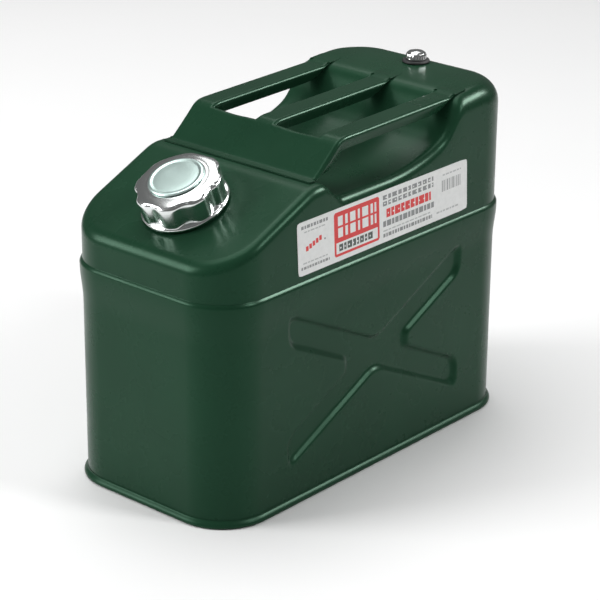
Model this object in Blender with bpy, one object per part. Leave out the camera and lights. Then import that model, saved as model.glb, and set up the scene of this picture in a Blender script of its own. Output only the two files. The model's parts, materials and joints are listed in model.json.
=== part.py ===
"""Upright steel fuel can with a slanted filler shoulder, a three-bar handle
bridging a scooped saddle, a lobed screw cap and a small vent screw.

Frame: +X from the filler end to the vent end, +Z up, Y across the can.
The origin is the middle of the footprint, on the surface the can stands on.
Lengths below are in millimetres; MM turns them into metres.
"""
import bpy
import bmesh
import math
from mathutils import Vector, Matrix

MM = 0.001

# ---------------------------------------------------------------- driving sizes
WALL_L = 324.4        # length over the side walls
WALL_W = 159.6        # width over the side walls
WALL_R = 38.0         # plan radius of the four upright corners
SHEET = 1.0           # sheet thickness
RIM_OUT = 2.8         # how far the rolled bottom rim stands proud of the wall
RIM_H = 5.6           # height of the bottom rim
SEAM_Z = 169.0        # top edge of the lower body's flared lip
LIP_OUT = 1.3         # how far the lip stands proud of the wall
LIP_H = 10.5          # depth of the lap joint
HUMP_Z = 263.0        # highest sheet surface, at the vent end
SADDLE_Z = 219.6      # floor of the hand scoop
LEDGE_Z = 233.2       # flat strip that the handle's foot stands on
SLOPE_X0 = -162.2     # front end of the slanted shoulder
SLOPE_Z0 = 193.9      # height of the unrounded shoulder at the front wall
SLOPE_DEG = 23.3      # slant of the shoulder
CAP_ALONG = 51.0      # distance up the slant from the front wall to the cap's axis
HANDLE_HW = 70.0      # half width of the handle pressing
BAR_W = 19.5          # width of each longitudinal bar
BAR_Z = 260.0         # top surface of the bars
BAR_FLANGE = 9.5      # depth of the turned-down edges
HANDLE_T = 1.2        # handle sheet
PANEL_FOOT_X = -57.5  # where the slanted front panel leaves its foot
PANEL_TOP_X = -37.0   # where it rolls over into the bars
BAR_END_X = 93.0      # rear ends of the bars, against the hump
NECK_BORE_R = 20.5
NECK_R = 23.6         # root radius of the neck's thread
THREAD_PITCH = 4.0
CAP_R = 32.2          # tips of the cap's lobes
CAP_H = 24.0          # rim of the cap above the shoulder
CAP_LOBES = 8
VENT_X = 138.0        # vent screw's axis
VENT_PITCH = 1.25
EMBOSS_DEPTH = 3.0    # depth of the pressed cross in each side wall
CROSS_Z = 89.0        # height of the cross's middle
GAP = 0.3             # running and resting gap between separate pieces

HL, HW = WALL_L / 2, WALL_W / 2
TAN = math.tan(math.radians(SLOPE_DEG))
AX_U = Vector((math.cos(math.radians(SLOPE_DEG)), 0, math.sin(math.radians(SLOPE_DEG))))
AX_N = Vector((-math.sin(math.radians(SLOPE_DEG)), 0, math.cos(math.radians(SLOPE_DEG))))
CAP_O = Vector((SLOPE_X0, 0, SLOPE_Z0)) + AX_U * CAP_ALONG

for ob in list(bpy.data.objects):
    bpy.data.objects.remove(ob, do_unlink=True)
SCENE = bpy.context.scene


# ---------------------------------------------------------------- small helpers
def material(name, rgb, rough, metal=0.0):
    m = bpy.data.materials.new(name)
    m.use_nodes = True
    b = m.node_tree.nodes["Principled BSDF"]
    b.inputs["Base Color"].default_value = (*rgb, 1)
    b.inputs["Roughness"].default_value = rough
    b.inputs["Metallic"].default_value = metal
    return m


def add_object(name, verts, faces, mat, origin=(0, 0, 0), sharp=35, hide=False):
    """One object from millimetre points, with its own origin."""
    o = Vector(origin)
    me = bpy.data.meshes.new(name)
    me.from_pydata([((Vector(v) - o) * MM)[:] for v in verts], [], faces)
    bm = bmesh.new()
    bm.from_mesh(me)
    bmesh.ops.recalc_face_normals(bm, faces=bm.faces)
    if bm.calc_volume(signed=True) < 0:
        bmesh.ops.reverse_faces(bm, faces=bm.faces)
    bm.to_mesh(me)
    bm.free()
    me.shade_smooth()
    me.set_sharp_from_angle(angle=math.radians(sharp))
    ob = bpy.data.objects.new(name, me)
    ob.location = o * MM
    SCENE.collection.objects.link(ob)
    if mat:
        me.materials.append(mat)
    if hide:
        ob.hide_render = True
        ob.display_type = 'WIRE'
    return ob


def boolean(ob, tool, op):
    m = ob.modifiers.new(op.lower(), 'BOOLEAN')
    m.object = tool
    m.operation = op
    m.solver = 'EXACT'
    return m


def axis_frame(o, z):
    """Matrix-like triple (origin, a, b, n) of a frame whose third axis is z."""
    n = Vector(z).normalized()
    b = Vector((0, 1, 0))
    a = b.cross(n).normalized()
    return Vector(o), a, b, n


CAP_F = axis_frame(CAP_O, AX_N)
VENT_O = Vector((VENT_X, 0, HUMP_Z))
VENT_F = axis_frame(VENT_O, (0, 0, 1))


def polar(f, r, th, h):
    o, a, b, n = f
    return o + a * (r * math.cos(th)) + b * (r * math.sin(th)) + n * h


def turned(name, f, prof, mat, seg=48, radius=None, origin=None, hide=False):
    """Ring swept round an axis from a closed (r, h) outline.
    Points at r = 0 are poles. radius(th, r, h) may reshape a ring."""
    verts, rings, faces = [], [], []
    for r, h in prof:
        if r < 1e-6:
            rings.append([len(verts)])
            verts.append(polar(f, 0, 0, h))
        else:
            ids = []
            for i in range(seg):
                th = 2 * math.pi * i / seg
                rr = radius(th, r, h) if radius else r
                ids.append(len(verts))
                verts.append(polar(f, rr, th, h))
            rings.append(ids)
    n = len(rings)
    poles = [len(k) == 1 for k in rings]
    for k in range(n):
        a, b = rings[k], rings[(k + 1) % n]
        if poles[k] and poles[(k + 1) % n]:
            continue
        for i in range(seg):
            j = (i + 1) % seg
            if len(a) == 1:
                faces.append((a[0], b[j], b[i]))
            elif len(b) == 1:
                faces.append((a[i], a[j], b[0]))
            else:
                faces.append((a[i], a[j], b[j], b[i]))
    return add_object(name, verts, faces, mat, origin if origin is not None else f[0], hide=hide)


def outline(inset, ns=10, na=8, nf=4):
    """Rounded rectangle with a fixed point order: (x, y, key)."""
    hl, hw, r = HL - inset, HW - inset, WALL_R - inset
    pts = []
    for (cx, cy, a0) in ((hl - r, -(hw - r), -90), (hl - r, hw - r, 0),
                         (-(hl - r), hw - r, 90), (-(hl - r), -(hw - r), 180)):
        for i in range(na + 1):
            a = math.radians(a0 + 90 * i / na)
            pts.append((cx + r * math.cos(a), cy + r * math.sin(a)))
        k = ns if a0 in (0, 180) else nf
        nxt = {-90: (hl, hw - r), 0: (-(hl - r), hw), 90: (-hl, -(hw - r)), 180: (hl - r, -hw)}[a0]
        x0, y0 = pts[-1]
        for i in range(1, k):
            pts.append((x0 + (nxt[0] - x0) * i / k, y0 + (nxt[1] - y0) * i / k))
    return pts


def swept_ring(profile, ns=6, na=8, nf=2):
    """Closed (inset, z) outline carried round the can's plan: verts, faces."""
    verts, faces = [], []
    rings = []
    for d, z in profile:
        ids = []
        for x, y in outline(d, ns, na, nf):
            ids.append(len(verts))
            verts.append((x, y, z))
        rings.append(ids)
    n, m = len(rings), len(rings[0])
    for k in range(n):
        a, b = rings[k], rings[(k + 1) % n]
        for i in range(m):
            j = (i + 1) % m
            faces.append((a[i], a[j], b[j], b[i]))
    return verts, faces


def swept_disc(profile, ns=6, na=8, nf=2):
    """Open (inset, z) chain carried round the plan, both ends capped flat."""
    verts, faces, rings = [], [], []
    for d, z in profile:
        ids = []
        for x, y in outline(d, ns, na, nf):
            ids.append(len(verts))
            verts.append((x, y, z))
        rings.append(ids)
    m = len(rings[0])
    for k in range(len(rings) - 1):
        a, b = rings[k], rings[k + 1]
        for i in range(m):
            j = (i + 1) % m
            faces.append((a[i], a[j], b[j], b[i]))
    faces.append(tuple(rings[0]))
    faces.append(tuple(reversed(rings[-1])))
    return verts, faces


# ---------------------------------------------------------------- finishes
GREEN = (0.035, 0.085, 0.045)
M_BODY = material("green_enamel_body", GREEN, 0.32)
M_PAN = material("green_enamel_pan", GREEN, 0.36)
M_TOP = material("green_enamel_top", GREEN, 0.30)
M_HANDLE = material("green_enamel_handle", GREEN, 0.30)
M_NECK = material("plated_neck", (0.55, 0.55, 0.52), 0.35, 1.0)
M_CRIMP = material("neck_seat", GREEN, 0.35)
M_CAP = material("bright_cap", (0.75, 0.77, 0.77), 0.14, 1.0)
M_LINER = material("plated_liner", (0.5, 0.5, 0.48), 0.35, 1.0)
M_DISC = material("bright_disc", (0.70, 0.73, 0.72), 0.18, 1.0)
M_GASKET = material("black_rubber_cap", (0.02, 0.02, 0.02), 0.7)
M_KNOB = material("bright_knob", (0.75, 0.77, 0.77), 0.15, 1.0)
M_STUD = material("plated_stud", (0.5, 0.5, 0.48), 0.3, 1.0)
M_WASH = material("black_rubber_vent", (0.02, 0.02, 0.02), 0.7)
M_BOSS = material("vent_boss_steel", (0.4, 0.4, 0.38), 0.4, 1.0)
M_LABEL = material("printed_label", (0.85, 0.85, 0.85), 0.4)
M_NOZ = material("spout_plate", (0.45, 0.45, 0.43), 0.4, 1.0)
M_NOZ2 = material("spout_hose", (0.45, 0.45, 0.43), 0.35, 1.0)
M_NOZ3 = material("spout_tip", (0.45, 0.45, 0.43), 0.35, 1.0)
M_NGASK = material("spout_rubber", (0.02, 0.02, 0.02), 0.7)

# ---------------------------------------------------------------- lower body wrap
lip_in = -GAP                       # the lip's inner face clears the upper skirt
wrap_prof = [
    (0, 1.6), (0, SEAM_Z - LIP_H - 3.5), (-LIP_OUT, SEAM_Z - LIP_H),
    (-LIP_OUT, SEAM_Z - 0.5), (-LIP_OUT + 0.4, SEAM_Z), (lip_in, SEAM_Z),
    (lip_in, SEAM_Z - LIP_H), (SHEET, SEAM_Z - LIP_H - 3.5), (SHEET, 1.6)]
v, f = swept_ring(wrap_prof, ns=6, na=10, nf=2)
body = add_object("body_wrap", v, f, M_BODY)


def cross_outline(grow):
    """Cross along the diagonals of the side wall, its arms cut off upright."""
    hw = 9.75 + grow                 # half width of an arm
    end = 95.5 + grow                # arm ends, from the middle of the wall
    ang = math.atan(0.488)
    d1 = Vector((math.cos(ang), math.sin(ang)))
    d2 = Vector((-math.cos(ang), math.sin(ang)))
    arms = [d1, d2, -d1, -d2]
    pts = []
    for i, d in enumerate(arms):
        nrm = Vector((-d.y, d.x))
        nxt = arms[(i + 1) % 4]
        nn = Vector((-nxt.y, nxt.x))
        # upright arm end with clipped corners
        ex = math.copysign(end, d.x)
        right, left = -nrm * hw, nrm * hw
        right = right + d * ((ex - right.x) / d.x)
        left = left + d * ((ex - left.x) / d.x)
        u = (left - right).normalized()
        pts += [right - d * 3, right + u * 3, left - u * 3, left - d * 3]
        # inner corner: this arm's left edge meets the next arm's right edge
        a, b = nrm * hw, -nn * hw
        det = d.x * (-nxt.y) + nxt.x * d.y
        t = ((b - a).x * (-nxt.y) + nxt.x * (b - a).y) / det
        pts.append(a + d * t)
    return [(p.x, CROSS_Z + p.y) for p in pts]


def cross_block(name, side, y_out, y_in, grow_out, grow_in):
    """Tapered cross-shaped block between two depths measured in from the wall."""
    verts, faces = [], []
    for y, g in ((y_out, grow_out), (y_in, grow_in)):
        for x, z in cross_outline(g):
            verts.append((x, side * (HW - y), z))
    n = len(verts) // 2
    for i in range(n):
        j = (i + 1) % n
        faces.append((i, j, n + j, n + i))
    faces.append(tuple(range(n)))
    faces.append(tuple(reversed(range(n, 2 * n))))
    return add_object(name, verts, faces, None, hide=True)


for side, tag in ((-1, "near"), (1, "far")):
    back = cross_block("cross_back_" + tag, side, 0.5, EMBOSS_DEPTH + SHEET, 2.2, -0.6)
    boolean(body, back, 'UNION')
for side, tag in ((-1, "near"), (1, "far")):
    cut = cross_block("cross_cut_" + tag, side, -1.0, EMBOSS_DEPTH, 1.1, -2.0)
    boolean(body, cut, 'DIFFERENCE')

# ---------------------------------------------------------------- bottom pan with its rolled rim
pan_prof = [
    (3.4, 3.2), (2.8, 0), (-RIM_OUT + 1.0, 0), (-RIM_OUT, 1.1), (-RIM_OUT, RIM_H - 1.1),
    (-RIM_OUT + 1.0, RIM_H), (-GAP, RIM_H), (-GAP, 1.3), (SHEET + GAP, 1.3),
    (SHEET + GAP, 8.5), (SHEET + GAP + 1.0, 8.5), (SHEET + GAP + 1.0, 4.2)]
v, f = swept_disc(pan_prof, ns=1, na=10, nf=1)
add_object("bottom_pan", v, f, M_PAN)


# ---------------------------------------------------------------- upper shell
def smooth(t):
    t = min(1.0, max(0.0, t))
    return t * t * (3 - 2 * t)


def top_height(x):
    """Outer surface of the upper shell along the can, flat across it."""
    slope = SLOPE_Z0 + (x - SLOPE_X0) * TAN
    z = min(slope, LEDGE_Z) if x < -60 else LEDGE_Z
    # soften the crease between slant and ledge
    k = 6.0
    xc = SLOPE_X0 + (LEDGE_Z - SLOPE_Z0) / TAN
    if abs(x - xc) < k:
        t = (x - xc + k) / (2 * k)
        z = LEDGE_Z - TAN * k * (1 - t) ** 2
    if x > -61:
        z = LEDGE_Z + (SADDLE_Z - LEDGE_Z) * smooth((x + 61) / 22)
    if x > 8:
        z = SADDLE_Z + (228.2 - SADDLE_Z) * ((min(x, 62) - 8) / 54) ** 2
    if x > 62:
        # steep front of the hump, easing into its top
        knots = ((62, 228.2, 0.36), (79, 237.0, 0.88), (90, 250.2, 1.36), (97, 257.8, 0.70),
                 (105, 261.2, 0.22), (130, HUMP_Z, 0.0))
        z = HUMP_Z
        for (xa, za, ma), (xb, zb, mb) in zip(knots, knots[1:]):
            if xa <= x <= xb:
                w = xb - xa
                t = (x - xa) / w
                h00, h10 = 2 * t ** 3 - 3 * t * t + 1, t ** 3 - 2 * t * t + t
                h01, h11 = -2 * t ** 3 + 3 * t * t, t ** 3 - t * t
                z = h00 * za + h10 * ma * w + h01 * zb + h11 * mb * w
                break
    return z


def edge_radius(x):
    """Radius of the top edge along the can."""
    if x < -60:
        return 7.5
    return 7.5 + 6.5 * smooth((x - 80) / 26) + 4.0 * smooth((x - 112) / 40)


NF, NS, NA = 4, 46, 10
FIL = 5


def shell_points(off):
    """Rings of the upper shell, moved inward by off. Returns rings and rows."""
    base = []          # (x, y, nx, ny) on the outer wall line
    def arc(cx, cy, a0, a1, n, skip=False):
        for i in range(1 if skip else 0, n + 1):
            a = math.radians(a0 + (a1 - a0) * i / n)
            base.append((cx + WALL_R * math.cos(a), cy + WALL_R * math.sin(a),
                         math.cos(a), math.sin(a)))
    cx, cy = HL - WALL_R, HW - WALL_R
    # start at the middle of the front end, go along the near side to the rear, back by the far side
    for i in range(NF // 2 + 1):
        base.append((-HL, -cy * i / (NF // 2), -1, 0))
    arc(-cx, -cy, 180, 270, NA, True)
    for i in range(1, NS):
        base.append((-cx + 2 * cx * i / NS, -HW, 0, -1))
    arc(cx, -cy, 270, 360, NA)
    for i in range(1, NF):
        base.append((HL, -cy + 2 * cy * i / NF, 1, 0))
    arc(cx, cy, 0, 90, NA)
    for i in range(1, NS):
        base.append((cx - 2 * cx * i / NS, HW, 0, 1))
    arc(-cx, cy, 90, 180, NA)
    for i in range(1, NF // 2):
        base.append((-HL, cy - cy * i / (NF // 2), -1, 0))
    rings = []
    skirt_z = SEAM_Z - LIP_H + 0.4
    def surf(x):
        h = top_height(x)
        if off > 0:
            g = (top_height(x + 0.5) - top_height(x - 0.5))
            h -= off * math.sqrt(1 + g * g)
        return h
    rings.append([(x - nx * off, y - ny * off, skirt_z) for x, y, nx, ny in base])
    for k in range(FIL + 1):
        th = math.pi / 2 * k / FIL
        ring = []
        for x, y, nx, ny in base:
            R = edge_radius(x)
            r = max(R - off, 1.0)
            d = off + r * (1 - math.cos(th))
            px, py = x - nx * d, y - ny * d
            ring.append((px, py, surf(px) - r + r * math.sin(th)))
        rings.append(ring)
    return rings, len(base)


def build_shell():
    verts, faces = [], []
    both = []
    for off in (0.0, SHEET):
        rings, m = shell_points(off)
        ids = []
        for ring in rings:
            row = []
            for p in ring:
                row.append(len(verts))
                verts.append(p)
            ids.append(row)
        both.append(ids)
        for a, b in zip(ids, ids[1:]):
            for i in range(m):
                j = (i + 1) % m
                q = (a[i], a[j], b[j], b[i])
                faces.append(q if off == 0 else tuple(reversed(q)))
        # crown: strips across the can between mirrored ring points
        last = ids[-1]
        half = m // 2
        pairs = [(last[k], last[(-k) % m]) for k in range(half + 1)]
        nf2 = NF // 2
        crown = []
        # front triangle fan region: points 0..nf2 lie on the front end
        for k in range(nf2, half - nf2):
            a0, b0 = pairs[k]
            a1, b1 = pairs[k + 1]
            crown.append((a0, a1, b1, b0))
        front = [last[(k) % m] for k in range(-nf2, nf2 + 1)]
        rear = [last[half + k] for k in range(-nf2, nf2 + 1)]
        for q in crown:
            pass
        # the end edges have extra points on them; use them as polygon corners
        a1, b1 = pairs[nf2 + 1]
        crown[0] = tuple(front + [a1, b1])
        a0, b0 = pairs[half - nf2 - 1]
        crown[-1] = tuple([b0, a0] + rear)
        for q in crown:
            faces.append(q if off == 0 else tuple(reversed(q)))
    o, n_ = both[0][0], both[1][0]
    m = len(o)
    for i in range(m):
        j = (i + 1) % m
        faces.append((o[j], o[i], n_[i], n_[j]))
    return verts, faces


v, f = build_shell()
top = add_object("top_shell", v, f, M_TOP)
neck_cut = turned("neck_cut", CAP_F, [(0, -12), (NECK_R + 1.2, -12), (NECK_R + 1.2, 8), (0, 8)], None, seg=48, hide=True)
boolean(top, neck_cut, 'DIFFERENCE')
vent_cut = turned("vent_cut", VENT_F, [(0, -8), (6.3, -8), (6.3, 5), (0, 5)], None, seg=32, hide=True)
boolean(top, vent_cut, 'DIFFERENCE')


# ---------------------------------------------------------------- handle pressing
def handle_path():
    """(x, z) of the handle sheet's outer surface, from the foot to the bars' ends."""
    p = [(-65.5, LEDGE_Z + GAP + HANDLE_T), (PANEL_FOOT_X - 3.6, LEDGE_Z + GAP + HANDLE_T)]
    # bend up, slanted panel, roll over into the level bars
    p += [(PANEL_FOOT_X - 0.8, LEDGE_Z + 3.0)]
    p += [(PANEL_TOP_X - 4.4, 250.2), (PANEL_TOP_X + 0.4, 254.8), (PANEL_TOP_X + 4.0, 257.1), (PANEL_TOP_X + 8.4, 258.2)]
    n = 6
    x0 = PANEL_TOP_X + 10.5
    for i in range(n + 1):
        t = i / n
        p.append((x0 + (BAR_END_X - 5 - x0) * t, 258.4 + (BAR_Z - 258.4) * t))
    # the bars' ends lie on the hump and are spot-welded there
    lift = HANDLE_T + GAP + 0.15
    p.append((BAR_END_X - 1.0, BAR_Z + 0.05))
    for x in (BAR_END_X + 3.5, BAR_END_X + 7, BAR_END_X + 11, BAR_END_X + 15):
        p.append((x, max(BAR_Z + 0.1, top_height(x) + lift)))
    return p


def build_handle():
    path = handle_path()
    first_bar = 4                       # path index where the slots begin
    h, w = HANDLE_HW, BAR_W
    rim = 1.6                           # rolled edge radius
    ys = [-h + rim, -h + w - rim, -w / 2 + rim, w / 2 - rim, h - w + rim, h - rim]
    bars = [(0, 1), (2, 3), (4, 5)]
    bm = bmesh.new()
    grid = [[bm.verts.new(Vector((x, y, z))) for y in ys] for x, z in path]
    for i in range(len(path) - 1):
        for j in range(len(ys) - 1):
            if i >= first_bar and (j, j + 1) not in bars:
                continue
            bm.faces.new((grid[i][j], grid[i + 1][j], grid[i + 1][j + 1], grid[i][j + 1]))
    for vtx in list(bm.verts):
        if not vtx.link_faces:
            bm.verts.remove(vtx)
    bm.faces.ensure_lookup_table()
    bm.normal_update()
    if bm.faces[0].normal.z < 0:
        bmesh.ops.reverse_faces(bm, faces=bm.faces)
        bm.normal_update()
    foot_x = path[0][0]
    # outward directions of free edges, mitred where two meet
    out = {}
    for e in bm.edges:
        if len(e.link_faces) != 1:
            continue
        a, b = e.verts
        if abs(a.co.x - foot_x) < 1e-6 and abs(b.co.x - foot_x) < 1e-6:
            continue
        fc = e.link_faces[0]
        d = (b.co - a.co).normalized()
        o = d.cross(fc.normal)
        if o.dot((a.co + b.co) / 2 - fc.calc_center_median()) < 0:
            o = -o
        for vv in (a, b):
            out.setdefault(vv, []).append((o, fc.normal.copy()))
    steps = [(1.1, 0.5), (1.6, 1.7), (1.6, BAR_FLANGE)]
    free = [e for e in bm.edges if len(e.link_faces) == 1
            and not (abs(e.verts[0].co.x - foot_x) < 1e-6 and abs(e.verts[1].co.x - foot_x) < 1e-6)]
    layers = {vv: [vv] for vv in out}
    depth_at = {}
    for vv, lst in out.items():
        os_ = [o for o, _ in lst]
        ns_ = [n for _, n in lst]
        if len(os_) == 2 and os_[0].dot(os_[1]) < 0.95:
            mit = (os_[0] + os_[1]) / (1 + os_[0].dot(os_[1]))
        else:
            mit = sum(os_, Vector()) / len(os_)
        nn = sum(ns_, Vector()).normalized()
        # the edge flange fades where the panel meets its foot
        flat = vv.co.x < PANEL_FOOT_X - 1.5 or vv.co.x > BAR_END_X
        for k, (s, dr) in enumerate(steps):
            if flat:                    # foot and welded strap ends stay flat
                s, dr = (0.9, 1.4, 1.9)[k], 0.0
            elif vv.co.x < PANEL_FOOT_X + 2:
                dr = min(dr, 2.4)
            elif vv.co.x > BAR_END_X - 3:
                dr = min(dr, 4.5)
            p = vv.co + mit * s - nn * dr
            layers[vv].append(bm.verts.new(p))
    for e in free:
        a, b = e.verts
        fc = e.link_faces[0]
        loop = [l for l in fc.loops if l.edge == e][0]
        a = loop.vert
        b = loop.link_loop_next.vert
        for k in range(3):
            bm.faces.new((layers[b][k], layers[a][k], layers[a][k + 1], layers[b][k + 1]))
    bm.normal_update()
    verts = [tuple(vv.co) for vv in bm.verts]
    bm.verts.index_update()
    faces = [tuple(vv.index for vv in fc.verts) for fc in bm.faces]
    bm.free()
    me = bpy.data.meshes.new("handle_pressing")
    me.from_pydata([(Vector(p) * MM)[:] for p in verts], [], faces)
    me.shade_smooth()
    me.set_sharp_from_angle(angle=math.radians(40))
    ob = bpy.data.objects.new("handle_pressing", me)
    SCENE.collection.objects.link(ob)
    me.materials.append(M_HANDLE)
    s = ob.modifiers.new("sheet", 'SOLIDIFY')
    s.thickness = HANDLE_T * MM
    s.offset = -1
    s.use_even_offset = True
    return ob


build_handle()

# ---------------------------------------------------------------- printed label on the near side
lx0, lx1, lz0, lz1 = -91.0, 102.5, 173.0, 212.5
ly = -HW - GAP
v = []
for y in (ly, ly - 0.25):
    for cx, cz, a0 in ((lx1 - 2, lz0 + 2, -90), (lx1 - 2, lz1 - 2, 0), (lx0 + 2, lz1 - 2, 90), (lx0 + 2, lz0 + 2, 180)):
        for i in range(4):
            a = math.radians(a0 + 30 * i)
            v.append((cx + 2 * math.cos(a), y, cz + 2 * math.sin(a)))
n = len(v) // 2
f = [tuple(range(n)), tuple(reversed(range(n, 2 * n)))]
f += [(i, (i + 1) % n, n + (i + 1) % n, n + i) for i in range(n)]
add_object("side_label", v, f, M_LABEL)


# ---------------------------------------------------------------- filler neck and its seat
def helix_ridge(name, f, r_in, r_out, h0, turns, pitch, base_w, tip_w, seg=36, inward=False, hide=True):
    """Thread ridge that fades out at both ends; r_in lies inside the wall it joins."""
    n = int(seg * turns)
    verts, faces = [], []
    fade = seg // 6
    for i in range(n + 1):
        th = 2 * math.pi * i / seg
        h = h0 + pitch * i / seg
        k = min(1.0, i / fade, (n - i) / fade)
        k = max(k, 0.02)
        tip = r_in + (r_out - r_in) * (0.25 + 0.75 * k)
        for r, dz in ((r_in, -base_w / 2), (tip, -tip_w / 2), (tip, tip_w / 2), (r_in, base_w / 2)):
            verts.append(polar(f, r, th, h + dz))
    for i in range(n):
        a, b = 4 * i, 4 * (i + 1)
        for k in range(4):
            j = (k + 1) % 4
            faces.append((a + k, a + j, b + j, b + k))
    faces.append((0, 1, 2, 3))
    faces.append((4 * n + 3, 4 * n + 2, 4 * n + 1, 4 * n))
    return add_object(name, verts, faces, None, f[0], hide=hide)


NECK_TOP = 18.6
neck = turned("filler_neck", CAP_F, [
    (NECK_BORE_R, -9.0), (NECK_R, -9.0), (NECK_R, NECK_TOP - 0.8), (NECK_R - 0.8, NECK_TOP),
    (NECK_BORE_R + 0.6, NECK_TOP), (NECK_BORE_R, NECK_TOP - 0.6)], M_NECK, seg=48)
ridge = helix_ridge("neck_thread", CAP_F, NECK_R - 0.9, NECK_R + 1.5, 5.6, 2.4, THREAD_PITCH, 2.1, 0.9)
boolean(neck, ridge, 'UNION')

# pressed seat that carries the neck on the slanted shoulder
turned("neck_seat", CAP_F, [
    (NECK_R + GAP, GAP), (30.2, GAP), (30.2, 0.9), (28.6, 1.5), (25.4, 1.9), (NECK_R + GAP, 1.9)],
    M_CRIMP, seg=48)

# ---------------------------------------------------------------- pouring spout stored upside down in the neck
turned("spout_flange", CAP_F, [
    (13.0, NECK_TOP + 2.2 + GAP), (13.0, NECK_TOP + 1.3), (14.2, NECK_TOP + 1.3), (24.2, NECK_TOP + 1.3 + 0.0),
    (24.2, NECK_TOP + 2.2 + GAP)], M_NOZ, seg=32)
turned("spout_gasket", CAP_F, [
    (21.0, NECK_TOP + GAP), (24.4, NECK_TOP + GAP), (24.4, NECK_TOP + 1.0), (21.0, NECK_TOP + 1.0)],
    M_NGASK, seg=32)
bell = []
z_a, z_b = NECK_TOP + 1.0, -66.0
nb = 6
for i in range(nb):                     # outside of the pleated hose, downwards
    za = z_a - 4.0 - (z_a - 4.0 - z_b - 6) * i / nb
    zb = z_a - 4.0 - (z_a - 4.0 - z_b - 6) * (i + 0.5) / nb
    bell += [(15.6, za), (13.4, zb)]
outer = [(14.4, z_a)] + bell + [(14.4, z_b + 3), (14.4, z_b)]
inner = [(r - 1.2, z) for r, z in reversed(outer)]
turned("spout_hose", CAP_F, outer + inner, M_NOZ2, seg=18)
turned("spout_tip", CAP_F, [
    (12.6, z_b - GAP), (14.6, z_b - GAP), (14.6, z_b - 4), (11.6, z_b - 9), (10.4, z_b - 50), (9.4, z_b - 50),
    (10.6, z_b - 9), (12.6, z_b - 4.4)], M_NOZ3, seg=32)

# ---------------------------------------------------------------- screw cap
TIP0 = math.radians(-110)


def lobe(th):
    """1 on a lobe's crest, 0 in the hollow between two lobes."""
    c = 0.5 + 0.5 * math.cos(CAP_LOBES * (th - TIP0))
    return c ** 0.6


GASKET_LO = NECK_TOP + 2.2 + 2 * GAP
GASKET_T = 1.8
CAP_IN = GASKET_LO + GASKET_T + GAP
cap_prof = [
    (30.6, 1.9), (31.9, 2.1), (32.3, 2.8), (32.2, 4.4), (31.5, 5.4), (31.3, 7.5), (31.9, 18.5), (CAP_R, 21.6),
    (31.2, 23.4), (29.2, CAP_H), (26.0, CAP_H + 0.1), (22.2, CAP_H - 0.2), (21.0, CAP_H + 0.4),
    (0, CAP_H + 0.4),
    (0, CAP_IN), (28.2, CAP_IN), (28.4, CAP_IN - 0.6), (28.4, 2.6)]


def cap_shape(th, r, h):
    if h < 5 or r < 28.9:
        return r
    k = min(1.0, (h - 4.0) / 3.0)
    w = min(1.0, max(0.0, (r - 28.9) / 2.0))
    return r - 2.6 * k * w * (1 - lobe(th))


turned("cap_shell", CAP_F, cap_prof, M_CAP, seg=64, radius=cap_shape)
turned("cap_centre_disc", CAP_F, [
    (0, CAP_H + 0.4 + GAP), (19.6, CAP_H + 0.4 + GAP), (20.3, CAP_H + 1.0), (20.3, CAP_H + 1.7),
    (19.4, CAP_H + 2.4), (17.6, CAP_H + 2.5), (17.0, CAP_H + 2.1), (0, CAP_H + 2.1)], M_DISC, seg=48)
LINER_R = 26.0
liner = turned("cap_liner", CAP_F, [
    (LINER_R, 3.4), (28.1, 3.4), (28.1, CAP_IN - GAP), (LINER_R, CAP_IN - GAP)], M_LINER, seg=48)
lridge = helix_ridge("liner_thread", CAP_F, LINER_R + 0.9, LINER_R - 1.5, 5.6 + THREAD_PITCH / 2, 2.0,
                     THREAD_PITCH, 2.1, 0.9)
boolean(liner, lridge, 'UNION')
turned("cap_gasket", CAP_F, [
    (13.2, GASKET_LO), (24.6, GASKET_LO), (24.9, GASKET_LO + 0.3), (24.9, GASKET_LO + GASKET_T),
    (13.2, GASKET_LO + GASKET_T)], M_GASKET, seg=48)

# ---------------------------------------------------------------- vent screw
turned("vent_boss", VENT_F, [
    (3.4, -9.0), (7.4, -9.0), (7.4, -SHEET - GAP - 0.1), (6.0, -SHEET - GAP - 0.1), (6.0, 0.0), (3.4, 0.0)], M_BOSS, seg=32)
turned("vent_washer", VENT_F, [
    (3.5, GAP), (10.3, GAP), (10.6, 0.9), (10.2, 2.2), (3.5, 2.2)], M_WASH, seg=40)


turned("vent_knob", VENT_F, [
    (0, 2.5), (8.0, 2.5), (8.2, 3.0), (8.0, 3.9), (7.9, 5.4), (7.4, 6.9), (6.0, 8.2), (3.4, 8.9), (0, 9.1)],
    M_KNOB, seg=36)
turned("vent_stud", VENT_F, [
    (0, -12.0), (2.3, -12.0), (2.9, -11.4), (2.9, 2.2), (0, 2.2)], M_STUD, seg=24)
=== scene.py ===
"""Fine surfaces, finishes, light and camera for the upright steel fuel can."""
import bpy
import bmesh
import json
import math
from mathutils import Vector, Matrix


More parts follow.
